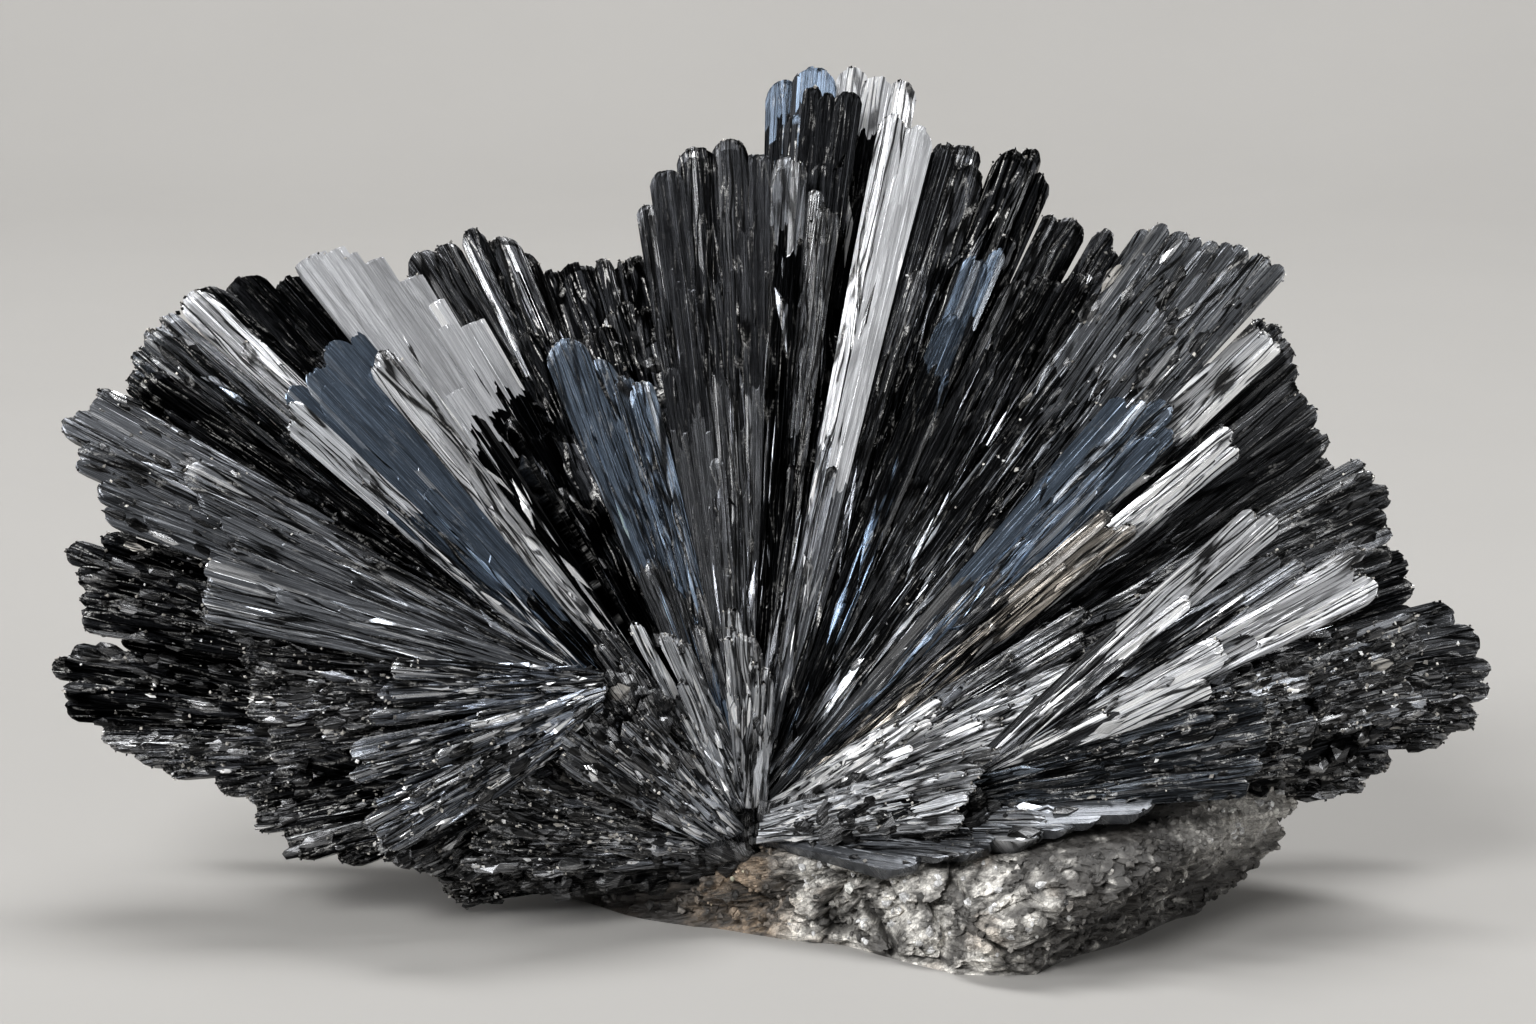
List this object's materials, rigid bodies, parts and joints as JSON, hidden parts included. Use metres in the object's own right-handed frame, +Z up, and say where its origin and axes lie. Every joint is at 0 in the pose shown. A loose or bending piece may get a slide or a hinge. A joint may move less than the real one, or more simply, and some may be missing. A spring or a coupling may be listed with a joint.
{
  "type": "black kyanite specimen",
  "caption": "Fan-shaped cluster of dark, finely ribbed kyanite blades that radiate from low roots, grown on a pale quartz lump with a flat underside.",
  "frame": {"origin": "on the surface the piece stands on, under the middle of its footprint", "axes": "+X across the fan, towards the right as seen from its face; -Y the way the face looks; +Z up"},
  "size_m": [0.1313, 0.0569, 0.0752],
  "materials": {
    "kyanite": "dark grey to blue-black, finely striated along the blades, with a silvery vitreous to pearly sheen and granular broken tips",
    "quartz": "whitish to tan granular quartz with dark grains, dull"
  },
  "bodies": {
    "root": {"kyanite": "kyanite", "matrix": "quartz"}
  },
  "joints": []
}
